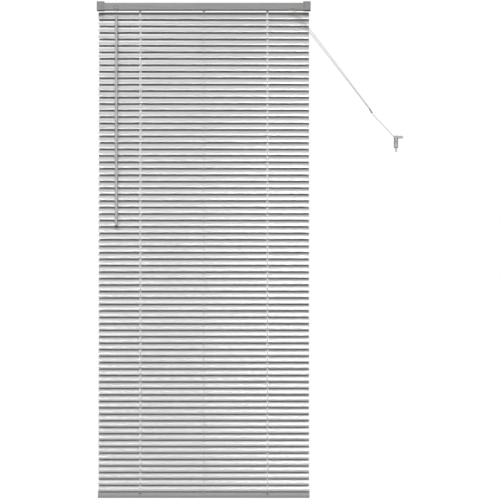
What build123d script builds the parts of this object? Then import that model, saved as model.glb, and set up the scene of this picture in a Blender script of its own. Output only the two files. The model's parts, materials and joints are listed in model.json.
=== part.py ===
from build123d import *
import os
from math import cos, pi, radians, sin, tan

# A 25 mm aluminium venetian blind on a wall, nearly closed, with its cords led to a wall cleat.
# X runs along the headrail, -Y points into the room, +Z is up. The wall is the plane y = 0.
# The origin is the middle of the four wall-screw holes in the two end brackets.

# ---- driving dimensions, mm ----
slat_length = 700.0
slat_width = 25.0
slat_crown = 1.8
slat_thickness = 0.21
slat_count = 74
slat_pitch = 21.5
slat_tilt = 68.0  # rest angle, front edge down
first_slat_z = -31.5
own_hinge_step = 3  # every third slat is a node with its own hinge
own_hinge_first = 2

headrail_depth = 25.0
headrail_height = 24.5
headrail_length = 700.6
headrail_wall = 0.6
headrail_bottom_z = -13.8
end_cap_thickness = 0.7

bracket_width = 24.0
bracket_height = 30.0
bracket_depth = 30.5
bracket_plate = 1.0
bracket_outer_x = 355.0
screw_hole_radius = 2.2
screw_hole_rise = 6.5

blind_y = -15.5  # middle plane of the headrail, the slats and the ladders
ladder_x = (-211.5, 0.0, 211.5)
lift_x = (-211.5, 211.5)
string_radius = 0.5
string_offset = 6.3
rung_radius = 0.3
cord_radius = 0.7
slot_length = 16.0
slot_width = 4.5

rod_z = -2.0
rod_flats = 6.0
drum_radius = 5.3
drum_width = 8.0

tilter_x = -290.0
gear_teeth = 12
gear_radius = 6.0
worm_radius = 2.6
worm_lean = 30.0
eye_travel = 22.1  # from the mesh point down the worm's axis to the eye
link_length = 15.0
wand_length = 700.0
wand_flats = 7.4

lock_x = 293.0

rail_width = 26.0
rail_thickness = 9.0
rail_wall = 0.8

cleat_x = 640.2
cleat_top_z = -429.0
cleat_height = 42.6
cleat_width = 14.0

# ---- derived places ----
headrail_front_y = blind_y - headrail_depth / 2
headrail_back_y = blind_y + headrail_depth / 2
headrail_top_z = headrail_bottom_z + headrail_height
floor_z = headrail_bottom_z + headrail_wall
rail_z = first_slat_z - slat_count * slat_pitch
lean = radians(worm_lean)
worm_direction = Vector(0, -sin(lean), -cos(lean))
mesh_direction = Vector(0, -cos(lean), sin(lean))
rod_centre = Vector(tilter_x, blind_y, rod_z)
worm_centre = rod_centre + mesh_direction * (gear_radius + worm_radius)
eye = worm_centre + worm_direction * eye_travel
wand_pin = eye - Vector(0, 0, link_length)
lift_z = floor_z + 1.4

parts = {}


def slat_plane(z):
    """The tilted plane of a slat's chord: local x along the slat, local y from front edge to rear edge."""
    tilt = radians(slat_tilt)
    return Plane(origin=(0, blind_y, z), x_dir=(1, 0, 0), z_dir=(0, -sin(tilt), cos(tilt)))


def end_plane(plane, x):
    """A plane square to X at x, whose local x runs across the slat and local y along the slat's normal."""
    return Plane(origin=plane.from_local_coords((x, 0, 0)), x_dir=plane.y_dir, z_dir=(1, 0, 0))


def slat_z(number):
    return first_slat_z - (number - 1) * slat_pitch


def make_slat(number):
    plane = slat_plane(slat_z(number))
    half = slat_width / 2
    with BuildPart() as slat:
        with BuildSketch(end_plane(plane, -slat_length / 2)):
            with BuildLine():
                top = ThreePointArc((-half, 0), (0, slat_crown), (half, 0))
                bottom = ThreePointArc(
                    (-half, -slat_thickness), (0, slat_crown - slat_thickness), (half, -slat_thickness)
                )
                Line(top @ 0, bottom @ 0)
                Line(top @ 1, bottom @ 1)
            make_face()
        extrude(amount=slat_length)
        with BuildSketch(plane.offset(-2)):
            with Locations(*[(x, 0) for x in lift_x]):
                SlotOverall(slot_length, slot_width, rotation=90)
        extrude(amount=2 * slat_crown + 4, mode=Mode.SUBTRACT)
    return slat.part


# ---- slats ----
own_hinge = list(range(own_hinge_first, slat_count + 1, own_hinge_step))
for number in own_hinge:
    parts[f"slat_{number:02d}"] = make_slat(number)
with BuildPart() as slats_between:
    add([make_slat(number) for number in range(1, slat_count + 1) if number not in own_hinge])
parts["slats_between"] = slats_between.part

# ---- headrail: an open steel channel with lips turned in at the top ----
wall_middle = headrail_wall / 2
front = headrail_front_y + wall_middle
back = headrail_back_y - wall_middle
top = headrail_top_z - wall_middle
floor_middle = headrail_bottom_z + wall_middle
lip = 3.0
with BuildPart() as headrail:
    with BuildSketch(Plane.YZ.offset(-headrail_length / 2)):
        with BuildLine():
            FilletPolyline(
                (front + lip, top),
                (front, top),
                (front, floor_middle),
                (back, floor_middle),
                (back, top),
                (back - lip, top),
                radius=1.6,
            )
        trace(line_width=headrail_wall)
    extrude(amount=headrail_length)
    with BuildSketch(Plane.XY.offset(headrail_bottom_z - 1)):
        with Locations(*[(x, blind_y) for x in ladder_x]):
            Rectangle(9, 17)
    extrude(amount=3, mode=Mode.SUBTRACT)
    with Locations((tilter_x, headrail_front_y, headrail_bottom_z)):
        Box(12, 16, 26, mode=Mode.SUBTRACT)
    with Locations((lock_x, headrail_front_y, headrail_bottom_z)):
        Box(20, 14, 20, mode=Mode.SUBTRACT)
parts["headrail"] = headrail.part

with BuildPart() as headrail_end_caps:
    for side in (-1, 1):
        with BuildSketch(Plane.YZ.offset(side * (headrail_length / 2 + 0.05))):
            with Locations((blind_y, headrail_bottom_z + headrail_height / 2)):
                RectangleRounded(headrail_depth, headrail_height, 1.8)
        extrude(amount=side * end_cap_thickness)
        with BuildSketch(Plane.YZ.offset(side * (headrail_length / 2 + 0.05))):
            with Locations((blind_y, headrail_bottom_z + headrail_height / 2)):
                RectangleRounded(headrail_depth - 2, headrail_height - 2, 1.2)
                RectangleRounded(headrail_depth - 5, headrail_height - 5, 1, mode=Mode.SUBTRACT)
        extrude(amount=-side * 5)
parts["headrail_end_caps"] = headrail_end_caps.part

with BuildPart() as ladder_guides:
    with BuildSketch(Plane.XY.offset(headrail_bottom_z - 1.0)):
        with Locations(*[(x, blind_y) for x in ladder_x]):
            RectangleRounded(11, 19, 2)
            Rectangle(5, 14, mode=Mode.SUBTRACT)
    extrude(amount=0.9)
    with BuildSketch(Plane.XY.offset(headrail_bottom_z - 0.1)):
        with Locations(*[(x, blind_y) for x in ladder_x]):
            Rectangle(8.6, 16.6)
            Rectangle(5, 14, mode=Mode.SUBTRACT)
    extrude(amount=0.8)
parts["ladder_guides"] = ladder_guides.part

# ---- end brackets: a box open at the front and inside, with a pin for the gate ----
gate_pin_x = bracket_outer_x - bracket_plate - 1.1
gate_pin_y = -bracket_depth + 0.9
pin_radius = 0.45
barrel_radius = 0.9
gate_height = bracket_height - 2 * bracket_plate - 0.6
for name, side in (("left", -1), ("right", 1)):
    middle_x = side * (bracket_outer_x - bracket_width / 2)
    with BuildPart() as bracket:
        with Locations((middle_x, -bracket_plate / 2, 0)):
            Box(bracket_width, bracket_plate, bracket_height)
        for z in (-1, 1):
            with Locations((middle_x, -bracket_depth / 2, z * (bracket_height - bracket_plate) / 2)):
                Box(bracket_width, bracket_depth, bracket_plate)
        with Locations((side * (bracket_outer_x - bracket_plate / 2), -bracket_depth / 2, 0)):
            Box(bracket_plate, bracket_depth, bracket_height)
        with BuildSketch(Plane.XY.offset(-bracket_height / 2)):
            with Locations((side * gate_pin_x, gate_pin_y)):
                Circle(pin_radius)
        extrude(amount=bracket_height)
        with BuildSketch(Plane.XZ.offset(-1)):
            with Locations((middle_x, -screw_hole_rise), (middle_x, screw_hole_rise)):
                Circle(screw_hole_radius)
        extrude(amount=4, mode=Mode.SUBTRACT)
    parts[f"bracket_{name}"] = bracket.part

    inner_x = side * (bracket_outer_x - bracket_width + 0.2)
    with BuildPart() as gate:
        with BuildSketch(Plane.XY.offset(-gate_height / 2)):
            with Locations(((inner_x + side * gate_pin_x) / 2, gate_pin_y - barrel_radius / 2)):
                Rectangle(abs(gate_pin_x - abs(inner_x)), barrel_radius)
            with Locations((side * gate_pin_x, gate_pin_y)):
                Circle(barrel_radius)
                Circle(pin_radius + 0.07, mode=Mode.SUBTRACT)
        extrude(amount=gate_height)
        with Locations((inner_x + side * 2.2, gate_pin_y - barrel_radius - 0.4, 0)):
            Box(1.4, 0.8, 10)
    parts[f"gate_{name}"] = gate.part

# ---- tilt rod, ladder drums and their cradles ----
rod_start = tilter_x - 6
rod_end = lift_x[1] + 16
with BuildPart() as tilt_rod:
    with BuildSketch(Plane(origin=(rod_start, blind_y, rod_z), x_dir=(0, 1, 0), z_dir=(1, 0, 0))):
        RegularPolygon(rod_flats / 2, 6, major_radius=False)
    extrude(amount=rod_end - rod_start)
parts["tilt_rod"] = tilt_rod.part

hub_radius = 4.4
with BuildPart() as ladder_drums:
    for x in ladder_x:
        section = Plane(origin=(x, blind_y, rod_z), x_dir=(0, 1, 0), z_dir=(1, 0, 0))
        with BuildSketch(section):
            Circle(drum_radius)
        extrude(amount=drum_width / 2, both=True)
        for side in (-1, 1):
            with BuildSketch(section.offset(side * drum_width / 2)):
                Circle(drum_radius + 1.2)
            extrude(amount=side * 1)
            with BuildSketch(section.offset(side * (drum_width / 2 + 1))):
                Circle(hub_radius)
            extrude(amount=side * 4)
        with BuildSketch(section):
            RegularPolygon(rod_flats / 2 + 0.05, 6, major_radius=False)
        extrude(amount=drum_width / 2 + 6, both=True, mode=Mode.SUBTRACT)
parts["ladder_drums"] = ladder_drums.part

cheek = 2.0
cheek_gap = drum_width / 2 + 1.4
cradle_depth = headrail_depth - 4.4  # stands inside the channel's bottom corners
with BuildPart() as drum_cradles:
    for x in ladder_x:
        for side in (-1, 1):
            with BuildSketch(Plane.YZ.offset(x + side * cheek_gap)):
                with Locations((blind_y, (floor_z + rod_z + 3) / 2 + 0.05)):
                    Rectangle(cradle_depth, rod_z + 3 - floor_z - 0.1)
                with Locations((blind_y, rod_z)):
                    Circle(hub_radius + 0.08, mode=Mode.SUBTRACT)
                with Locations((blind_y, rod_z + 6)):
                    Rectangle(2 * hub_radius + 0.16, 12, mode=Mode.SUBTRACT)
                with Locations((blind_y, floor_z)):
                    Rectangle(9, 6, mode=Mode.SUBTRACT)
            extrude(amount=side * cheek)
        for y in (-1, 1):
            with Locations((x, blind_y + y * (cradle_depth / 2 - 0.8), floor_z + 1.05)):
                Box(2 * cheek_gap + 2 * cheek, 1.6, 2)
parts["drum_cradles"] = drum_cradles.part

# ---- wand tilter: worm, gear and housing ----
gear_width = 4.0
tooth_gap = 2 * pi * gear_radius / gear_teeth
gear_tip = gear_radius + 0.9
gear_root = gear_radius - 1.3
gear_section = Plane(origin=rod_centre, x_dir=mesh_direction, z_dir=(1, 0, 0))
with BuildPart() as tilter_gear:
    with BuildSketch(gear_section):
        Circle(gear_root)
        with PolarLocations(0, gear_teeth, start_angle=180 / gear_teeth):
            Polygon(
                (gear_root - 1, -0.85), (gear_tip, -0.4), (gear_tip, 0.4), (gear_root - 1, 0.85), align=None
            )
        RegularPolygon(rod_flats / 2 + 0.05, 6, major_radius=False, rotation=worm_lean, mode=Mode.SUBTRACT)
    extrude(amount=gear_width / 2, both=True)
parts["tilter_gear"] = tilter_gear.part

worm_plane = Plane(origin=worm_centre, x_dir=mesh_direction * -1, z_dir=worm_direction)
core_radius = 1.5
with BuildPart() as thread:
    with BuildLine():
        spiral = Helix(tooth_gap, 2 * tooth_gap, core_radius)
    with BuildSketch(Plane(origin=spiral @ 0, x_dir=(1, 0, 0), z_dir=spiral % 0)):
        with BuildLine():
            Polyline((-0.3, -0.75), (1.5, -0.35), (1.5, 0.35), (-0.3, 0.75), close=True)
        make_face()
    sweep(path=spiral, is_frenet=True)
with BuildPart() as tilter_worm:
    with BuildSketch(worm_plane.offset(-7)):
        Circle(core_radius)
    extrude(amount=14)
    with BuildSketch(worm_plane.offset(6.5)):
        Circle(2.2)
    extrude(amount=eye_travel - 6.5 - 2.4)
    add(thread.part.moved(worm_plane.offset(-tooth_gap).location))  # its crests face the gear's gaps
    with BuildSketch(Plane(origin=eye, x_dir=worm_direction, z_dir=(1, 0, 0))):
        Circle(3.4)
    extrude(amount=0.7, both=True)
    with BuildSketch(Plane(origin=eye, x_dir=worm_direction, z_dir=(1, 0, 0))):
        Circle(1.9)
    extrude(amount=4, both=True, mode=Mode.SUBTRACT)
parts["tilter_worm"] = tilter_worm.part

housing_half = 8.5
with BuildPart() as tilter_housing:
    with BuildSketch(Plane.YZ.offset(tilter_x - housing_half)):
        with BuildLine():
            Polyline(
                (headrail_front_y + 0.9, 8),
                (headrail_back_y - 1.2, 8),
                (headrail_back_y - 1.2, floor_z + 1.6),
                (headrail_back_y - 2.7, floor_z + 0.1),
                (headrail_front_y + 2.4, floor_z + 0.1),
                (headrail_front_y + 0.9, floor_z + 1.6),
                close=True,
            )
        make_face()
    extrude(amount=2 * housing_half)
    with BuildSketch(worm_plane.offset(7)):
        Circle(4.0)
    extrude(amount=9)
    with BuildSketch(gear_section):
        Circle(gear_tip + 0.5)
    extrude(amount=gear_width / 2 + 0.3, both=True, mode=Mode.SUBTRACT)
    with BuildSketch(gear_section):
        Circle(rod_flats / 2 / cos(radians(30)) + 0.3)
    extrude(amount=20, both=True, mode=Mode.SUBTRACT)
    with BuildSketch(worm_plane.offset(-7.2)):
        Circle(core_radius + 1.5 + 0.4)
    extrude(amount=13.4, mode=Mode.SUBTRACT)
    with BuildSketch(worm_plane.offset(6)):
        Circle(2.4)
    extrude(amount=14, mode=Mode.SUBTRACT)
parts["tilter_housing"] = tilter_housing.part

# ---- wand: a wire link from the worm's eye to the wand's cap ----
link_half = 3.6
wire_radius = 0.6
bend = 2.0
with BuildPart() as wand_hook:
    with BuildLine(Plane(origin=eye, x_dir=(1, 0, 0), z_dir=(0, -1, 0))):
        loop = FilletPolyline(
            (link_half, 0),
            (link_half, -link_length),
            (-link_half, -link_length),
            (-link_half, 0),
            radius=bend,
            close=True,
        )
    with BuildSketch(Plane(origin=loop @ 0, z_dir=loop % 0)):
        Circle(wire_radius)
    sweep(path=loop)
parts["wand_hook"] = wand_hook.part

cap_height = 14.0
wand_top = wand_pin.Z + 2.6
with BuildPart() as wand:
    with BuildSketch(Plane.XY.offset(wand_top - wand_length)):
        with Locations((wand_pin.X, wand_pin.Y)):
            RegularPolygon(wand_flats / 2, 6, major_radius=False)
    extrude(amount=wand_length - cap_height)
parts["wand"] = wand.part

with BuildPart() as wand_cap:
    with BuildSketch(Plane.XY.offset(wand_top - cap_height)):
        with Locations((wand_pin.X, wand_pin.Y)):
            Circle(wand_flats / 2)
    extrude(amount=cap_height - 5.2)
    with Locations((wand_pin.X, wand_pin.Y, wand_pin.Z)):
        Box(4.6, 5, 5.2)
    with BuildSketch(Plane.YZ.offset(wand_pin.X)):
        with Locations((wand_pin.Y, wand_pin.Z)):
            Circle(1.2)
    extrude(amount=6, both=True, mode=Mode.SUBTRACT)
parts["wand_cap"] = wand_cap.part

with BuildPart() as wand_tip:
    with BuildSketch(Plane.XY.offset(wand_top - wand_length)):
        with Locations((wand_pin.X, wand_pin.Y)):
            Circle(wand_flats / 2 + 0.6)
    extrude(amount=-8, taper=8)
    fillet(wand_tip.faces().sort_by(Axis.Z)[0].edges(), 1.5)
parts["wand_tip"] = wand_tip.part

# ---- cord lock ----
lock_half = 9.6
slot_z = headrail_bottom_z + 3.4
roller_y = headrail_front_y + 4.6
roller_z = headrail_bottom_z + 8.6
roller_radius = 2.2
with BuildPart() as cord_lock:
    with Locations((lock_x, headrail_front_y + 3.0, headrail_bottom_z + 5.2)):
        Box(2 * lock_half, 7.4, 8.8)
    with Locations((lock_x, headrail_front_y - 1.0, headrail_bottom_z + 4.4)):
        Box(2 * lock_half + 5, 1.8, 11)
    fillet(cord_lock.edges().filter_by(Axis.Y).group_by(Axis.Y)[0], 1.6)
    with Locations((lock_x, headrail_front_y + 2, slot_z)):
        Box(14, 16, 3.0, mode=Mode.SUBTRACT)
    with Locations((lock_x, roller_y, headrail_bottom_z + 8.0)):
        Box(14, 5.0, 10, mode=Mode.SUBTRACT)
    with BuildSketch(Plane.YZ.offset(lock_x - lock_half - 1)):
        with Locations((roller_y, roller_z)):
            SlotOverall(3.4, 1.4, rotation=90)
    extrude(amount=2 * lock_half + 2, mode=Mode.SUBTRACT)
parts["cord_lock"] = cord_lock.part

with BuildPart() as lock_roller:
    with BuildSketch(Plane(origin=(lock_x, roller_y, roller_z), x_dir=(0, 1, 0), z_dir=(1, 0, 0))):
        Circle(roller_radius)
    extrude(amount=6.6, both=True)
    with BuildSketch(Plane(origin=(lock_x, roller_y, roller_z), x_dir=(0, 1, 0), z_dir=(1, 0, 0))):
        Circle(0.6)
    extrude(amount=9, both=True)
parts["lock_roller"] = lock_roller.part

# ---- ladders and lift cords ----
string_top_z = headrail_bottom_z + 3
tilt = radians(slat_tilt)


def make_strings(y, top_z, bottom_z):
    with BuildPart() as strings:
        with BuildSketch(Plane.XY.offset(bottom_z)):
            with Locations(*[(x, y) for x in ladder_x]):
                Circle(string_radius)
        extrude(amount=top_z - bottom_z)
    return strings.part


# the front strings run down the bottom rail's face to its lower edge, the rear ones to the plugs behind it
parts["ladder_front"] = make_strings(blind_y - string_offset, string_top_z, rail_z - 12.6)
parts["ladder_rear"] = make_strings(blind_y + string_offset, string_top_z, rail_z + 3.4)

rung_drop = 0.75
with BuildPart() as ladder_rungs:
    for number in range(1, slat_count + 1):
        plane = slat_plane(slat_z(number)).offset(-rung_drop)
        half = (string_offset - string_radius - 0.1) / cos(tilt)
        with BuildSketch(Plane(origin=plane.origin, x_dir=(1, 0, 0), z_dir=plane.y_dir)):
            with Locations(*[(x + side * 3.2, 0) for x in ladder_x for side in (-1, 1)]):
                Circle(rung_radius)
        extrude(amount=half - 1.5, both=True)
parts["ladder_rungs"] = ladder_rungs.part

cord_end_z = rail_z + rail_width / 2 + 0.6  # clear of the bottom rail as it tilts
with BuildPart() as lift_cords:
    for x, side_y, end_x in ((lift_x[0], 2.2, lock_x - 3), (lift_x[1], -2.2, lock_x + 3)):
        y = blind_y + side_y
        with BuildLine():
            route = FilletPolyline(
                (x, blind_y, cord_end_z),
                (x, blind_y, lift_z),
                (x + 24, y, lift_z),
                (end_x - 22, y, lift_z),
                (end_x, headrail_front_y + 9, slot_z),
                (end_x, headrail_front_y + 0.5, slot_z),
                radius=2.4,
            )
        with BuildSketch(Plane(origin=route @ 0, z_dir=route % 0)):
            Circle(cord_radius)
        sweep(path=route)
parts["lift_cords"] = lift_cords.part

# the last stretch of each lift cord, which flexes as the rail tilts
rail_hole = slat_plane(rail_z).offset(rail_thickness / 2 + 0.4).origin
with BuildPart() as lift_cord_ends:
    for x in lift_x:
        with BuildLine():
            route = FilletPolyline(
                (x, blind_y, cord_end_z),
                (x, blind_y, cord_end_z - 3),
                (x, rail_hole.Y - 0.5, rail_hole.Z + 2.0),
                (x, rail_hole.Y, rail_hole.Z),
                radius=0.9,
            )
        with BuildSketch(Plane(origin=route @ 0, z_dir=route % 0)):
            Circle(cord_radius)
        sweep(path=route)
parts["lift_cord_ends"] = lift_cord_ends.part

# ---- bottom rail ----
rail_plane = slat_plane(rail_z)
half_rail = rail_width / 2


def rail_outline(x, inset):
    """The rail's section at x: two arcs that meet at its front and rear edges."""
    across = half_rail - inset
    rise = rail_thickness / 2 - inset
    with BuildSketch(end_plane(rail_plane, x)) as outline:
        with BuildLine():
            ThreePointArc((-across, 0), (0, rise), (across, 0))
            ThreePointArc((-across, 0), (0, -rise), (across, 0))
        make_face()
    return outline.sketch


with BuildPart() as bottom_rail:
    extrude(rail_outline(-slat_length / 2, 0), amount=slat_length)
    extrude(rail_outline(-slat_length / 2, rail_wall), amount=slat_length, mode=Mode.SUBTRACT)
    with BuildSketch(rail_plane):
        with Locations(*[(x, 0) for x in lift_x]):
            Circle(2.4)
    extrude(amount=rail_thickness, both=True, mode=Mode.SUBTRACT)
parts["bottom_rail"] = bottom_rail.part

with BuildPart() as bottom_rail_caps:
    for side in (-1, 1):
        cap_x = side * (slat_length / 2 + 0.05)
        extrude(rail_outline(cap_x, 0), amount=side * 1.5)
        with BuildSketch(end_plane(rail_plane, cap_x)):
            Rectangle(12, 4)
        extrude(amount=-side * 8)
parts["bottom_rail_caps"] = bottom_rail_caps.part

with BuildPart() as bottom_rail_plugs:
    for x in lift_x:
        with BuildSketch(rail_plane.offset(rail_thickness / 2 + 0.02)):
            with Locations((x, 0)):
                Circle(2.9)
                Circle(2.1, mode=Mode.SUBTRACT)
        extrude(amount=0.15)
        with BuildSketch(rail_plane.offset(rail_thickness / 2 + 0.02)):
            with Locations((x, 0)):
                Circle(2.35)
                Circle(2.1, mode=Mode.SUBTRACT)
        extrude(amount=-1)
    for x in ladder_x:
        with BuildSketch(rail_plane.offset(-rail_thickness / 2 - 0.02)):
            with Locations((x, 0)):
                Circle(5)
        extrude(amount=-1.6)
parts["bottom_rail_plugs"] = bottom_rail_plugs.part

# ---- pull cords: out of the lock, down to a connector and on to the wall cleat ----
cord_y = headrail_front_y - 2.2
exit_a = (lock_x + 3, cord_y - 0.3, slot_z - 0.3)
exit_b = (lock_x - 3, cord_y - 0.3, slot_z - 0.3)
join = Vector(550.4, -26.0, -341.0)
join_direction = Vector(0.5, 0.06, -0.86).normalized()
connector_length = 17.0
connector_radius = 2.4
tail_start = join + join_direction * (connector_length + 0.15)
tail_end = (cleat_x - 4.2, -6.5, cleat_top_z - 8)


def route_radii(points):
    """Each corner's arc: 0.45 of the shorter run over the tangent of half the turn."""
    points = [Vector(*p) for p in points]
    runs = [b - a for a, b in zip(points, points[1:])]
    radii = []
    for before, after in zip(runs, runs[1:]):
        half_turn = radians(before.get_angle(after)) / 2
        radii.append(0.45 * min(before.length, after.length) / tan(half_turn))
    return radii


def make_cord(name, points, radius):
    radii = route_radii(points)
    with BuildPart() as cord:
        with BuildLine():
            route = FilletPolyline(*points, radius=radii)
        with BuildSketch(Plane(origin=route @ 0, z_dir=route % 0)):
            Circle(radius)
        sweep(path=route)
    length = route.length
    print(name, "radii", [round(r, 1) for r in radii], "length", round(length, 1))
    print(name, "volume over section times length", round(cord.part.volume / (pi * radius**2 * length), 4))
    return cord.part


def into_connector(shift):
    """Where a pull cord meets the connector's top face, shift mm beside its middle."""
    face = Plane(origin=join, x_dir=(0.86, 0, 0.5), z_dir=join_direction)
    return tuple(face.from_local_coords((shift, 0, -0.15)))


pull_cord_a = [
    exit_a,
    (lock_x + 8.5, cord_y - 2.6, slot_z - 8.5),
    into_connector(0.9),
]
pull_cord_b = [
    exit_b,
    (lock_x + 3.5, cord_y - 3.0, slot_z - 12.5),
    into_connector(-0.9),
]
cord_tail = [
    tail_start,
    (572.0, -21.5, -372.5),
    (602.0, -14.5, -406.0),
    tail_end,
]
parts["pull_cord_a"] = make_cord("pull_cord_a", pull_cord_a, cord_radius)
parts["pull_cord_b"] = make_cord("pull_cord_b", pull_cord_b, cord_radius)
parts["pull_cord_tail"] = make_cord("pull_cord_tail", [tuple(Vector(*p)) for p in cord_tail], cord_radius)

with BuildPart() as cord_connector:
    with BuildSketch(Plane(origin=join, z_dir=join_direction)):
        Circle(connector_radius)
    extrude(amount=connector_length)
    chamfer(cord_connector.edges().filter_by(GeomType.CIRCLE), 0.7)
parts["cord_connector"] = cord_connector.part

# ---- wall cleat ----
cleat_middle_z = cleat_top_z - cleat_height / 2
with BuildPart() as cord_cleat:
    with BuildSketch(Plane.XZ):
        with Locations((cleat_x, cleat_middle_z)):
            RectangleRounded(cleat_width, cleat_height, 3)
    extrude(amount=2.6)
    with BuildSketch(Plane.XZ.offset(2.6)):
        with Locations((cleat_x, cleat_top_z - 8)):
            Circle(3.2)
    extrude(amount=7.4)
    with BuildSketch(Plane.XZ.offset(10)):
        with Locations((cleat_x + 8.2, cleat_top_z - 6.2)):
            SlotOverall(30.0, 8.4)
        with Locations((cleat_x, cleat_top_z - 25)):
            SlotOverall(31, 8, rotation=90)
    extrude(amount=3.4)
    with BuildSketch(Plane.XZ.offset(2.6)):
        with Locations((cleat_x, cleat_top_z - 33)):
            Circle(3.2)
    extrude(amount=7.4)
    with BuildSketch(Plane.XZ.offset(-1)):
        with Locations((cleat_x, cleat_top_z - 20.5)):
            Circle(1.9)
    extrude(amount=20, mode=Mode.SUBTRACT)
parts["cord_cleat"] = cord_cleat.part

with BuildPart() as cleat_screw:
    with BuildSketch(Plane.XZ.offset(0.1)):
        with Locations((cleat_x, cleat_top_z - 20.5)):
            Circle(1.8)
    extrude(amount=2.6)
    with BuildSketch(Plane.XZ.offset(2.7)):
        with Locations((cleat_x, cleat_top_z - 20.5)):
            Circle(3.4)
    extrude(amount=1.9)
parts["cleat_screw"] = cleat_screw.part

with BuildPart() as cord_tassel:
    with BuildSketch(Plane.XY.offset(cleat_top_z - cleat_height - 11.5)):
        with Locations((cleat_x, -6.0)):
            Circle(3.2)
    extrude(amount=10.5, taper=8)
parts["cord_tassel"] = cord_tassel.part

os.makedirs("parts", exist_ok=True)
for name, part in parts.items():
    part.label = name
    export_step(part, f"parts/{name}.step")
print(len(parts), "sub-parts")
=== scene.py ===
import json
import math

import bmesh
import bpy
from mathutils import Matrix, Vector


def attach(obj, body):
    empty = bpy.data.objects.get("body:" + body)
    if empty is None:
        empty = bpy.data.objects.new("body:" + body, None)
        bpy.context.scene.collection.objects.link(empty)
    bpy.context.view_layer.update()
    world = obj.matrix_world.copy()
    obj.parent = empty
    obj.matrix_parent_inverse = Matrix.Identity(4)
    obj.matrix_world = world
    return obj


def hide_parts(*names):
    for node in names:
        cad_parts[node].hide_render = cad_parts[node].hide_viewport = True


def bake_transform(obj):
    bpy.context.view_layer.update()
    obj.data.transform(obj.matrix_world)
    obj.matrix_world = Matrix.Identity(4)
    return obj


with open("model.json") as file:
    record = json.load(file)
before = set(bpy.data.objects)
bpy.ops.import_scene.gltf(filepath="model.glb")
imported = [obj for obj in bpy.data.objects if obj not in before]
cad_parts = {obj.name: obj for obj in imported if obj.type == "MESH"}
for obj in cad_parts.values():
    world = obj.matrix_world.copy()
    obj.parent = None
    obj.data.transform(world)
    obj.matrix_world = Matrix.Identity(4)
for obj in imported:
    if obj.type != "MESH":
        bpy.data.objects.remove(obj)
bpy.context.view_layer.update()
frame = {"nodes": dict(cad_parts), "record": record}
nodes = frame["nodes"]
scene = bpy.context.scene

# ---- dimensions, as in the CAD, in metres ----
SLAT_LENGTH, SLAT_WIDTH, SLAT_CROWN, SLAT_THICKNESS = 0.7, 0.025, 0.0018, 0.00021
SLAT_CORNER = 0.0035
SLOT_RADIUS, SLOT_HALF = 0.00225, 0.008
SLAT_COUNT, SLAT_PITCH, FIRST_SLAT_Z = 74, 0.0215, -0.0315
TILT = math.radians(68)
BLIND_Y = -0.0155
LADDER_X = (-0.2115, 0.0, 0.2115)
LIFT_X = (-0.2115, 0.2115)
STRING_OFFSET, STRING_RADIUS, STRING_TOP_Z = 0.0063, 0.0005, -0.0108
LADDER_TRAVEL = 0.0222
RAIL_Z = FIRST_SLAT_Z - SLAT_COUNT * SLAT_PITCH
CORD_RADIUS = 0.0007
CORD_END_Z = RAIL_Z + 0.0136
LIFT_Z = -0.0118
CLEAT_X, CLEAT_TOP_Z, TASSEL_TOP_Z = 0.6402, -0.429, -0.4726
POST_DROP, POST_RISE, POST_RADIUS = 0.008, 0.0125, 0.0032
FLOOR_X, FLOOR_Y, FLOOR_Z = (-1.6, 1.9), (-1.6, 1.4), -2.2

# Every third slat has a hinge of its own. The others are one node in the CAD, and are joined here too.
OWN_HINGE = [n for n in range(1, SLAT_COUNT + 1) if n % 3 == 2]
JOINED = [n for n in range(1, SLAT_COUNT + 1) if n % 3 != 2]


def slat_z(number):
    return FIRST_SLAT_Z - (number - 1) * SLAT_PITCH


def on_slat(across, up):
    """(y, z) beside a slat's centre of a point so far across it and so far up its normal."""
    return (
        across * math.cos(TILT) - up * math.sin(TILT),
        across * math.sin(TILT) + up * math.cos(TILT),
    )


# ---- camera and light ----
VIEW_MIDDLE = Vector((0.1537, BLIND_Y, -0.8105))
VIEW_DISTANCE, VIEW_WIDTH = 7.0, 1.6629
camera_data = bpy.data.cameras.new("camera")
camera_data.sensor_width = 36.0
camera_data.lens = camera_data.sensor_width * VIEW_DISTANCE / VIEW_WIDTH
camera = bpy.data.objects.new("camera", camera_data)
camera.location = VIEW_MIDDLE - Vector((0, VIEW_DISTANCE, 0))
camera.rotation_euler = (math.radians(90), 0, 0)
scene.collection.objects.link(camera)
scene.camera = camera
scene.view_settings.view_transform = "Standard"


def soft_light(name, location, target, size, power, spread):
    """A rectangular area light of that power in watts. The spread is in degrees."""
    data = bpy.data.lights.new(name, "AREA")
    data.shape = "RECTANGLE"
    data.size, data.size_y = size
    data.energy = power
    data.spread = math.radians(spread)
    light = bpy.data.objects.new(name, data)
    light.location = location
    light.rotation_euler = (Vector(target) - Vector(location)).to_track_quat("-Z", "Y").to_euler()
    scene.collection.objects.link(light)


soft_light("key_right", (1.0, -4.8, 1.5), (0, 0, -0.8), (1.2, 0.9), 2.6, 45)
soft_light("key_left", (-1.3, -4.8, 1.2), (0.2, 0, -0.8), (0.5, 0.6), 1.4, 50)
soft_light("overhead", (-0.7, -1.25, 2.6), (-0.4, 0, -0.8), (1.0, 0.7), 10, 100)

# A white studio to look at. Its light comes from above and from the room's side, and little comes from
# below or from behind the blind.
world = bpy.data.worlds.new("studio")
scene.world = world
world.use_nodes = True
tree = world.node_tree
direction = tree.nodes.new("ShaderNodeTexCoord")
seen = tree.nodes.new("ShaderNodeLightPath")


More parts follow.
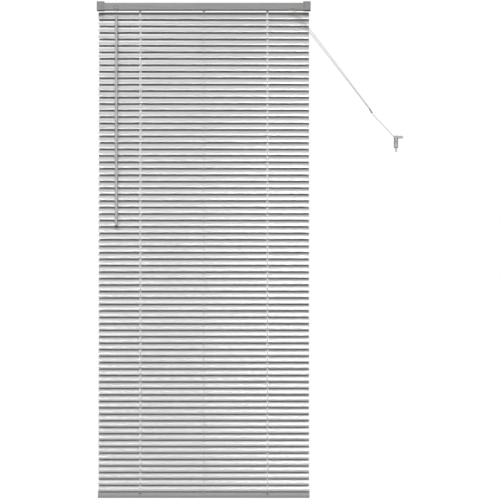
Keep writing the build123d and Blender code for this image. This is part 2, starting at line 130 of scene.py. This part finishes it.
def graded(axis, stops):
    """A ramp of greys over one axis of the direction looked in, from -1 to 1."""
    axes = tree.nodes.new("ShaderNodeSeparateXYZ")
    level = tree.nodes.new("ShaderNodeMapRange")
    level.inputs["From Min"].default_value = -1.0
    ramp = tree.nodes.new("ShaderNodeValToRGB")
    points = ramp.color_ramp.elements
    while len(points) < len(stops):
        points.new(0.5)
    for point, (place, grey) in zip(points, stops):
        point.position = place / 2 + 0.5
        point.color = (grey, grey, grey, 1)
    tree.links.new(direction.outputs["Generated"], axes.inputs[0])
    tree.links.new(axes.outputs[axis], level.inputs["Value"])
    tree.links.new(level.outputs["Result"], ramp.inputs["Fac"])
    return ramp.outputs["Color"]


def blended(kind, factor, a, b):
    """Colours a and b, mixed by that factor. Each can be a value or the output of a node."""
    mix = tree.nodes.new("ShaderNodeMix")
    mix.data_type = "RGBA"
    mix.blend_type = kind
    for name, value in (("Factor", factor), ("A", a), ("B", b)):
        if isinstance(value, (float, tuple)):
            mix.inputs[name].default_value = value
        else:
            tree.links.new(value, mix.inputs[name])
    return mix.outputs["Result"]


by_height = graded("Z", ((-0.12, 0.02), (0.02, 0.45), (0.25, 0.6), (0.6, 0.7), (0.9, 0.7)))
by_depth = graded("Y", ((-0.1, 1.0), (0.4, 0.12)))
lit = blended("MULTIPLY", 1.0, by_height, by_depth)
shown = blended("MIX", seen.outputs["Is Camera Ray"], lit, (1.0, 1.0, 1.0, 1))
tree.links.new(shown, tree.nodes["Background"].inputs["Color"])


# ---- materials ----
def shade(name, dark, light, rough=(0.35, 0.45), grain=(60, 60, 60), bump=0.05, underside_shade=None, **sockets):
    """A material whose colour and roughness wander over a soft noise, with a fine bump.

    Given a share for the undersides, faces that look down keep that share of the colour and no gloss:
    painted shade, darkening the undersides as if little light reached them.
    """
    material = bpy.data.materials.new(name)
    material.use_nodes = True
    tree = material.node_tree
    shader = tree.nodes["Principled BSDF"]
    for socket, value in sockets.items():
        shader.inputs[socket.replace("_", " ")].default_value = value
    where = tree.nodes.new("ShaderNodeTexCoord")
    stretch = tree.nodes.new("ShaderNodeMapping")
    stretch.inputs["Scale"].default_value = grain
    noise = tree.nodes.new("ShaderNodeTexNoise")
    noise.inputs["Scale"].default_value = 1.0
    noise.inputs["Detail"].default_value = 3.0
    ramp = tree.nodes.new("ShaderNodeValToRGB")
    ramp.color_ramp.elements[0].position, ramp.color_ramp.elements[1].position = 0.3, 0.7
    ramp.color_ramp.elements[0].color = (*dark, 1)
    ramp.color_ramp.elements[1].color = (*light, 1)
    roughness = tree.nodes.new("ShaderNodeMapRange")
    roughness.inputs["To Min"].default_value, roughness.inputs["To Max"].default_value = rough
    fine = tree.nodes.new("ShaderNodeTexNoise")
    fine.inputs["Scale"].default_value = 2500.0
    relief = tree.nodes.new("ShaderNodeBump")
    relief.inputs["Strength"].default_value = bump
    relief.inputs["Distance"].default_value = 0.0002
    link = tree.links.new
    link(where.outputs["Object"], stretch.inputs["Vector"])
    link(stretch.outputs["Vector"], noise.inputs["Vector"])
    link(noise.outputs["Fac"], ramp.inputs["Fac"])
    link(ramp.outputs["Color"], shader.inputs["Base Color"])
    link(noise.outputs["Fac"], roughness.inputs["Value"])
    link(roughness.outputs["Result"], shader.inputs["Roughness"])
    link(where.outputs["Object"], fine.inputs["Vector"])
    link(fine.outputs["Fac"], relief.inputs["Height"])
    link(relief.outputs["Normal"], shader.inputs["Normal"])
    # Painted shade: faces that look down are darkened and lose their gloss.
    if underside_shade is not None:
        facing = tree.nodes.new("ShaderNodeSeparateXYZ")
        link(where.outputs["Normal"], facing.inputs[0])
        shade_levels = []
        for below, above in ((underside_shade, 1.0), (0.0, 0.5)):
            level = tree.nodes.new("ShaderNodeMapRange")
            level.inputs["From Min"].default_value, level.inputs["From Max"].default_value = -0.9, -0.6
            level.inputs["To Min"].default_value, level.inputs["To Max"].default_value = below, above
            link(facing.outputs["Z"], level.inputs["Value"])
            shade_levels.append(level.outputs["Result"])
        shaded_colour = tree.nodes.new("ShaderNodeVectorMath")
        shaded_colour.operation = "SCALE"
        link(ramp.outputs["Color"], shaded_colour.inputs[0])
        link(shade_levels[0], shaded_colour.inputs["Scale"])
        link(shaded_colour.outputs["Vector"], shader.inputs["Base Color"])
        link(shade_levels[1], shader.inputs["Specular IOR Level"])
    return material


def braid(name, dark, light):
    """Braided cord: two crossing sets of fine bands give its plait, over a little fuzz."""
    fuzz = {"rough": (0.75, 0.9), "grain": (900, 900, 900), "bump": 0.3, "Sheen_Weight": 0.25}
    material = shade(name, dark, light, **fuzz)
    tree = material.node_tree
    where = tree.nodes["Texture Coordinate"]
    plait = tree.nodes.new("ShaderNodeMath")
    plait.operation = "MAXIMUM"
    for number, lean in enumerate((0.9, -0.9)):
        turn = tree.nodes.new("ShaderNodeMapping")
        turn.inputs["Rotation"].default_value = (lean, lean * 0.6, 0)
        wave = tree.nodes.new("ShaderNodeTexWave")
        wave.bands_direction = "Z"
        wave.inputs["Scale"].default_value = 520.0
        tree.links.new(where.outputs["Object"], turn.inputs["Vector"])
        tree.links.new(turn.outputs["Vector"], wave.inputs["Vector"])
        tree.links.new(wave.outputs["Fac"], plait.inputs[number])
    relief = tree.nodes["Bump"]
    relief.inputs["Distance"].default_value = 0.0003
    tree.links.new(plait.outputs["Value"], relief.inputs["Height"])
    return material


slat_paint = shade(
    "slat_enamel",
    (0.675, 0.675, 0.673),
    (0.69, 0.69, 0.688),
    rough=(0.275, 0.29),
    grain=(3, 25, 25),
    bump=0.006,
    Metallic=0.6,
    Coat_Weight=0.25,
    Coat_Roughness=0.2,
)
# Its downward faces get painted shade.
rail_paint = shade(
    "rail_enamel",
    (0.42, 0.422, 0.42),
    (0.47, 0.472, 0.47),
    grain=(12, 300, 300),
    underside_shade=0.1,
)
# Its downward faces get painted shade.
bracket_paint = shade(
    "bracket_enamel",
    (0.36, 0.362, 0.36),
    (0.43, 0.432, 0.43),
    grain=(90, 90, 90),
    bump=0.08,
    underside_shade=0.1,
)
steel = shade(
    "zinc_plate",
    (0.5, 0.5, 0.49),
    (0.68, 0.68, 0.67),
    rough=(0.22, 0.4),
    grain=(40, 500, 500),
    Metallic=1.0,
)
nylon = shade("natural_nylon", (0.7, 0.7, 0.67), (0.8, 0.8, 0.78), rough=(0.45, 0.6), Subsurface_Weight=0.1)
grey_plastic = shade("grey_plastic", (0.36, 0.365, 0.37), (0.43, 0.435, 0.44), rough=(0.4, 0.55), bump=0.12)
lock_plastic = shade("lock_plastic", (0.4, 0.42, 0.34), (0.5, 0.52, 0.44), rough=(0.35, 0.5), bump=0.1)
dark_plastic = shade("dark_plastic", (0.1, 0.1, 0.1), (0.17, 0.17, 0.17), rough=(0.35, 0.5), bump=0.1)
connector_plastic = shade("connector_plastic", (0.4, 0.4, 0.4), (0.5, 0.5, 0.5), rough=(0.3, 0.4), bump=0.1)
clear_plastic = shade(
    "clear_plastic",
    (0.8, 0.805, 0.81),
    (0.88, 0.885, 0.89),
    rough=(0.1, 0.18),
    grain=(200, 200, 12),
    bump=0.02,
    Transmission_Weight=0.15,
    IOR=1.5,
)
cord_fibre = braid("braided_polyester", (0.56, 0.56, 0.55), (0.72, 0.72, 0.71))
pull_fibre = braid("pull_cord_braid", (0.27, 0.27, 0.266), (0.4, 0.4, 0.395))
floor_paint = shade("pale_floor", (0.8, 0.8, 0.79), (0.84, 0.84, 0.83), rough=(0.7, 0.8), grain=(2, 2, 2))

FINISH = {
    "slat": slat_paint,
    "rail_paint": rail_paint,
    "bracket_paint": bracket_paint,
    "steel": steel,
    "nylon": nylon,
    "grey_plastic": grey_plastic,
    "lock_plastic": lock_plastic,
    "dark_plastic": dark_plastic,
    "wand_plastic": clear_plastic,
    "cord": cord_fibre,
}
for subpart in frame["record"]["subparts"]:
    mesh = nodes[subpart["node"]].data
    mesh.materials.clear()
    mesh.materials.append(FINISH[subpart["material_slot"]])
nodes["cord_connector"].data.materials[0] = connector_plastic  # lighter than the other dark plastic


# ---- mesh helpers ----
def piece(name, slot, mesh, body=None, finish=None):
    """A new piece of that mesh with its own finish or the slot's, riding on the body if one is named."""
    made = bpy.data.objects.new(name, mesh)
    scene.collection.objects.link(made)
    mesh.materials.append(finish or FINISH[slot])
    if body:
        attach(made, body)
    return made


def crease(mesh, angle=35):
    """Smooth shading, with the edges sharper than that many degrees left sharp."""
    bm = bmesh.new()
    bm.from_mesh(mesh)
    bmesh.ops.recalc_face_normals(bm, faces=bm.faces)
    for face in bm.faces:
        face.smooth = True
    for edge in bm.edges:
        edge.smooth = len(edge.link_faces) == 2 and edge.calc_face_angle(0) < math.radians(angle)
    bm.to_mesh(mesh)
    bm.free()
    return mesh


def mesh_of(name, points, faces, angle=35):
    """A mesh of those points and faces, with smooth shading between its creases."""
    mesh = bpy.data.meshes.new(name)
    mesh.from_pydata([tuple(p) for p in points], [], faces)
    return crease(mesh, angle)


def tubes(name, paths, sides=8):
    """One mesh of round tubes. Each path is a list of (point, radius)."""
    points, faces = [], []
    for path in paths:
        first = len(points)
        last = len(path) - 1
        for i, (at, radius) in enumerate(path):
            along = Vector(path[min(i + 1, last)][0]) - Vector(path[max(i - 1, 0)][0])
            along.normalize()
            side = along.cross(Vector((1, 0, 0)) if abs(along.x) < 0.9 else Vector((0, 0, 1))).normalized()
            other = along.cross(side)
            for k in range(sides):
                turn = 2 * math.pi * k / sides
                points.append(Vector(at) + radius * (math.cos(turn) * side + math.sin(turn) * other))
        for i in range(last):
            for k in range(sides):
                a, b = first + i * sides + k, first + i * sides + (k + 1) % sides
                faces.append((a, b, b + sides, a + sides))
        faces.append(tuple(range(first, first + sides)))
        faces.append(tuple(range(first + last * sides, first + (last + 1) * sides)))
    return mesh_of(name, points, faces, 50)


# ---- cords: the loose ones first, then the lift cords inside the blind ----
def cord_curve(name, points, fibre):
    """A smooth cord whose control points are the route's points."""
    data = bpy.data.curves.new(name, "CURVE")
    data.dimensions = "3D"
    spline = data.splines.new("NURBS")
    spline.points.add(len(points) - 1)
    for place, at in zip(spline.points, points):
        place.co = (*at, 1)
    spline.order_u = 3
    spline.use_endpoint_u = True
    spline.resolution_u = 24
    data.bevel_depth = CORD_RADIUS
    data.bevel_resolution = 3
    data.use_fill_caps = True
    made = bpy.data.objects.new(name, data)
    scene.collection.objects.link(made)
    data.materials.append(fibre)
    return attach(made, "frame")


cord_a = cord_curve(
    "cord_a",
    [(0.296, -0.0305, -0.0107), (0.3085, -0.0332, -0.017), (0.5511, -0.02601, -0.34042)],
    pull_fibre,
)
cord_b = cord_curve(
    "cord_b",
    [(0.290, -0.0305, -0.0107), (0.2985, -0.0332, -0.0185), (0.54955, -0.02601, -0.34132)],
    pull_fibre,
)
cord_tail = cord_curve(
    "cord_tail",
    [
        (0.559, -0.02497, -0.3558),
        (0.5685, -0.0227, -0.3675),
        (0.6, -0.0148, -0.3992),
        (0.636, -0.0065, -0.437),
    ],
    pull_fibre,
)
for made, node, start, length, far_end, extra in (
    (cord_a, "pull_cord_a", (0.296, -0.0305, -0.0107), 0.4172, "connector", ["cord_connector"]),
    (cord_b, "pull_cord_b", (0.290, -0.0305, -0.0107), 0.4208, "connector", ["cord_connector"]),
    (cord_tail, "pull_cord_tail", (0.559, -0.02497, -0.3558), 0.1138, "object", ["cord_tassel"]),
):
    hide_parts(node)

# The lift cords run up through the slats, turn along the headrail side by side and end in the lock.
for name, x, side_y, end_x in (
    ("lift_cord_a", LIFT_X[0], 0.0022, 0.29),
    ("lift_cord_b", LIFT_X[1], -0.0022, 0.296),
):
    y = BLIND_Y + side_y
    lift = cord_curve(
        name,
        [
            (x, BLIND_Y, CORD_END_Z),
            (x, BLIND_Y, LIFT_Z - 0.008),
            (x, BLIND_Y, LIFT_Z),
            (x + 0.008, BLIND_Y + side_y / 3, LIFT_Z),
            (x + 0.024, y, LIFT_Z),
            (end_x - 0.022, y, LIFT_Z),
            (end_x - 0.002, -0.0195, -0.0106),
            (end_x, -0.0275, -0.0104),
        ],
        cord_fibre,
    )
    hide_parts("lift_cords")

rail_hole = on_slat(0, 0.0049)
END_STEPS = 12


def lift_end(x):
    """The path of a lift cord's last stretch, which bends over into the bottom rail's hole."""
    path = []
    for t in [i / END_STEPS for i in range(END_STEPS + 1)]:
        eased = t * t * (3 - 2 * t)
        y = BLIND_Y + (rail_hole[0] - 0.0002) * eased
        path.append(((x, y, CORD_END_Z + (RAIL_Z + rail_hole[1] - CORD_END_Z) * t), CORD_RADIUS))
    return path


lift_ends = piece("lift_ends", "cord", tubes("lift_ends", [lift_end(x) for x in LIFT_X]))
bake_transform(lift_ends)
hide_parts("lift_cord_ends")


# ---- the cord's turns on the cleat, and its end down to the tassel ----
TURNS, TURN_STEPS, TURN_PITCH = 3, 16, 0.0014
WOUND_RADIUS = POST_RADIUS + 0.00075
WOUND_Y, HANGING_Y, TASSEL_Y, TASSEL_BEND = -0.0055, -0.0084, -0.006, 0.0022
posts_z = CLEAT_TOP_Z - POST_DROP - POST_RISE


def wound_point(step):
    """A point of the cord on its oval way round the two posts, so many steps along."""
    turn = 2 * math.pi * (step + 0.5) / TURN_STEPS
    return (
        CLEAT_X + WOUND_RADIUS * math.cos(turn),
        WOUND_Y - TURN_PITCH * step / TURN_STEPS,
        posts_z + math.copysign(POST_RISE, math.sin(turn)) + WOUND_RADIUS * math.sin(turn),
    )


wound = [(wound_point(step), CORD_RADIUS) for step in range(TURNS * TURN_STEPS + 1)]
hanging = [
    ((CLEAT_X, HANGING_Y, posts_z - POST_RISE - WOUND_RADIUS), CORD_RADIUS),
    ((CLEAT_X, HANGING_Y, TASSEL_TOP_Z + TASSEL_BEND), CORD_RADIUS),
    ((CLEAT_X, TASSEL_Y, TASSEL_TOP_Z), CORD_RADIUS),
]
for name, path in (("cleat_turns", wound), ("tassel_cord", hanging)):
    piece(name, "cord", tubes(name, [path]), "frame", pull_fibre)

# ---- nylon skirts where the ladders and lift cords leave the headrail ----
SKIRT_SIDES = 24
SKIRT = [  # radius and height round its section
    (0.0014, -0.014),
    (0.0048, -0.014),
    (0.0048, -0.0152),
    (0.0036, -0.0158),
    (0.003, -0.0186),
    (0.0014, -0.0186),
]
points, faces = [], []
for x in LADDER_X:
    first = len(points)
    for k in range(SKIRT_SIDES):
        turn = 2 * math.pi * k / SKIRT_SIDES
        points += [(x + r * math.cos(turn), BLIND_Y + r * math.sin(turn), z) for r, z in SKIRT]
    for k in range(SKIRT_SIDES):
        a, b = first + k * len(SKIRT), first + (k + 1) % SKIRT_SIDES * len(SKIRT)
        for j in range(len(SKIRT)):
            n = (j + 1) % len(SKIRT)
            faces.append((a + j, b + j, b + n, a + n))
piece("ladder_skirts", "nylon", mesh_of("ladder_skirts", points, faces), "frame")

# ---- slats ----
# Mesh lines across half a slat in mm, closer at the rounded corners and at the ends of the slots.
HALF_COLUMNS = [12.5, 12.2, 11.5, 10.4, 9.0, 8.0, 7.3, 5.75, 4.0, 2.0]
COLUMNS = sorted([-a / 1000 for a in HALF_COLUMNS] + [a / 1000 for a in HALF_COLUMNS])
SLOT_STRAIGHT = SLOT_HALF - SLOT_RADIUS


def rest_curve(share):
    """(y, z) of the slat's upper face at rest, at that share of its half width from the middle."""
    return on_slat(share * SLAT_WIDTH / 2, SLAT_CROWN * (1 - share * share))


EDGE_DROP = 0.01048  # how far below the middle a hinged slat's rear edge ends at the far limit


def turned_z(y):
    """The height at y of a joined slat that has tilted the other way, on its mirrored chord and crown."""
    reach, drop = rest_curve(1)[0], EDGE_DROP
    length = math.hypot(reach, drop)
    out_y, out_z = SLAT_CROWN * drop / length, SLAT_CROWN * reach / length
    root = math.sqrt(max(0.0, reach**2 - 4 * out_y * (y - out_y)))
    share = (reach - root) / (2 * out_y)
    return -drop * share + out_z * (1 - share * share)


def lift_of(share):
    """How far a point of a joined slat rises from rest to the ladder's limit, over the ladder's travel."""
    y, z = rest_curve(share)
    return (turned_z(y) - z) / LADDER_TRAVEL


# The joined slats' halves meet where they stay still, found by halving the interval.
low, high = -0.5, 1.0
for _ in range(40):
    still = (low + high) / 2
    low, high = (still, high) if lift_of(still) > 0 else (low, still)

# The mesh lines along the slat: how far beside the slot's middle, half the slot's width where it is closed
# up, and the lines nearest to the slat's middle and to its end.
SLOT_MARGIN, SLOT_LEAST, INNER_LINE, OUTER_LINE = 0.006, 0.0009, 0.07, 0.33


def end_set_back(across):
    """How far the rounded corner sets the slat's end back there."""
    over = max(0.0, abs(across) - (SLAT_WIDTH / 2 - SLAT_CORNER))
    return SLAT_CORNER - math.sqrt(max(0.0, SLAT_CORNER**2 - over**2))


def slot_half(across):
    """Half of the route slot's width there. Past the slot, the mesh line closes up towards the middle."""
    over = max(0.0, abs(across) - SLOT_STRAIGHT)
    return max(SLOT_LEAST, math.sqrt(max(0.0, SLOT_RADIUS**2 - over**2)))


def row_places(across):
    """Where the mesh lines along the slat cross that one."""
    end = SLAT_LENGTH / 2 - end_set_back(across)
    half, slot_x = slot_half(across), LIFT_X[1]
    slot = [slot_x - SLOT_MARGIN, slot_x - half, slot_x + half, slot_x + SLOT_MARGIN]
    right = [INNER_LINE, *slot, OUTER_LINE, end]
    return [-x for x in reversed(right)] + right


ROWS = len(row_places(0))
SLOT_ROWS = (3, ROWS - 5)


def slats(name, numbers, columns):
    """A mesh of crowned slats with rounded corners and route slots, as thick as the real sheet."""
    points, faces = [], []
    for number in numbers:
        first = len(points)
        for across in columns:
            y, z = rest_curve(across / (SLAT_WIDTH / 2))
            points += [(x, BLIND_Y + y, slat_z(number) + z) for x in row_places(across)]
        for i in range(len(columns) - 1):
            in_slot = max(abs(columns[i]), abs(columns[i + 1])) < SLOT_HALF + 0.00001
            for k in range(ROWS - 1):
                if in_slot and k in SLOT_ROWS:
                    continue
                a = first + i * ROWS + k
                faces.append((a, a + 1, a + ROWS + 1, a + ROWS))
    sheet = bpy.data.meshes.new(name)
    sheet.from_pydata(points, [], faces)
    holder = bpy.data.objects.new(name + "_sheet", sheet)
    scene.collection.objects.link(holder)
    thick = holder.modifiers.new("thickness", "SOLIDIFY")
    thick.thickness = SLAT_THICKNESS
    thick.offset = -1
    mesh = bpy.data.meshes.new_from_object(holder.evaluated_get(bpy.context.evaluated_depsgraph_get()))
    bpy.data.objects.remove(holder)
    mesh.name = name
    return crease(mesh)


for number in OWN_HINGE:
    body = f"slat_{number:02d}"
    made = piece(f"blade_{number:02d}", "slat", slats(body, [number], COLUMNS), body)
    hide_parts(body)


def weigh(made, weight_at):
    """Bakes a piece's placement into its mesh and works out each point's weight between the frame and a
    ladder side; nothing here applies the weights.
    """
    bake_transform(made)
    weights = [min(1.0, max(0.0, weight_at(v.co))) for v in made.data.vertices]


def slat_share(at):
    """Where across its slat a point is, from -1 at the front edge to 1 at the rear edge."""
    rise = at.z - FIRST_SLAT_Z + round((FIRST_SLAT_Z - at.z) / SLAT_PITCH) * SLAT_PITCH
    across = (at.y - BLIND_Y) * math.cos(TILT) + rise * math.sin(TILT)
    return max(-1.0, min(1.0, across / (SLAT_WIDTH / 2)))


LEAST_GAP = 0.0004
still_across = still * SLAT_WIDTH / 2
front_columns = [a for a in COLUMNS if a < still_across - LEAST_GAP] + [still_across]
rear_columns = [still_across] + [a for a in COLUMNS if a > still_across + LEAST_GAP]
blades_front = piece("blades_front", "slat", slats("blades_front", JOINED, front_columns))
weigh(blades_front, lambda at: lift_of(slat_share(at)))
blades_rear = piece("blades_rear", "slat", slats("blades_rear", JOINED, rear_columns))
weigh(blades_rear, lambda at: -lift_of(slat_share(at)))
for made in (blades_front, blades_rear):
    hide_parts("slats_between")


# ---- ladders: side strings with a small knot at each rung, and the rungs under the slats ----
KNOT = ((0.004, 1.0), (0.0013, 1.05), (0.0005, 1.5), (-0.0005, 1.5), (-0.0013, 1.05))  # (rise, thickness)
RUNG_RADIUS, RUNG_SPREAD, RUNG_BELOW, JOINED_REACH = 0.0003, 0.0032, 0.00075, 0.00473
RUNG_COURSE = ((0.0, 1.0), (0.0024, 1.0), (0.0047, 0.9), (0.0056, 0.55), (0.0063, 0.0))  # (offset, spread)


def rung_point(number, offset):
    """(y, z) of a rung so far in front of or behind the middle."""
    y, z = on_slat(offset / math.cos(TILT), -RUNG_BELOW)
    return BLIND_Y + y, slat_z(number) + z


def string_path(x, offset, bottom):
    """A ladder string with a small knot at each rung."""
    path = [((x, BLIND_Y + offset, STRING_TOP_Z), STRING_RADIUS)]
    for number in range(1, SLAT_COUNT + 1):
        z = rung_point(number, offset)[1]
        for rise, thickness in KNOT:
            path.append(((x, BLIND_Y + offset, z + rise), STRING_RADIUS * thickness))
    path.append(((x, BLIND_Y + offset, bottom), STRING_RADIUS))
    return sorted(path, key=lambda entry: -entry[0][2])


for body, offset, bottom in (
    ("ladder_front", -STRING_OFFSET, RAIL_Z - 0.0126),
    ("ladder_rear", STRING_OFFSET, RAIL_Z + 0.0034),
):
    strings = tubes("strings", [string_path(x, offset, bottom) for x in LADDER_X])
    made = piece("strings_" + body[7:], "cord", strings, body)
    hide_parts(body)


def rung_path(number, side, x, spread):
    """One side's half of a rung, which runs spread beside the ladder's line and closes on its string."""
    path = []
    for offset, share in RUNG_COURSE:
        y, z = rung_point(number, side * offset)
        path.append(((x + share * spread, y, z), RUNG_RADIUS))
    return path


for name, side in (("front", -1), ("rear", 1)):
    for kind, numbers, reach in (("own", OWN_HINGE, STRING_OFFSET), ("joined", JOINED, JOINED_REACH)):
        spreads = (-RUNG_SPREAD, RUNG_SPREAD)
        paths = [rung_path(n, side, x, spread) for n in numbers for x in LADDER_X for spread in spreads]
        rungs = piece(f"rungs_{name}_{kind}", "cord", tubes("rungs", paths, sides=6))
        weigh(rungs, lambda at: abs(at.y - BLIND_Y) / reach)
        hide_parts("ladder_rungs")

# ---- floor ----
corners = [(x, y, FLOOR_Z) for x, y in zip(FLOOR_X + FLOOR_X[::-1], sorted(FLOOR_Y * 2))]
floor_mesh = mesh_of("floor", corners, [(0, 1, 2, 3)])
floor = bpy.data.objects.new("floor", floor_mesh)
scene.collection.objects.link(floor)
floor_mesh.materials.append(floor_paint)
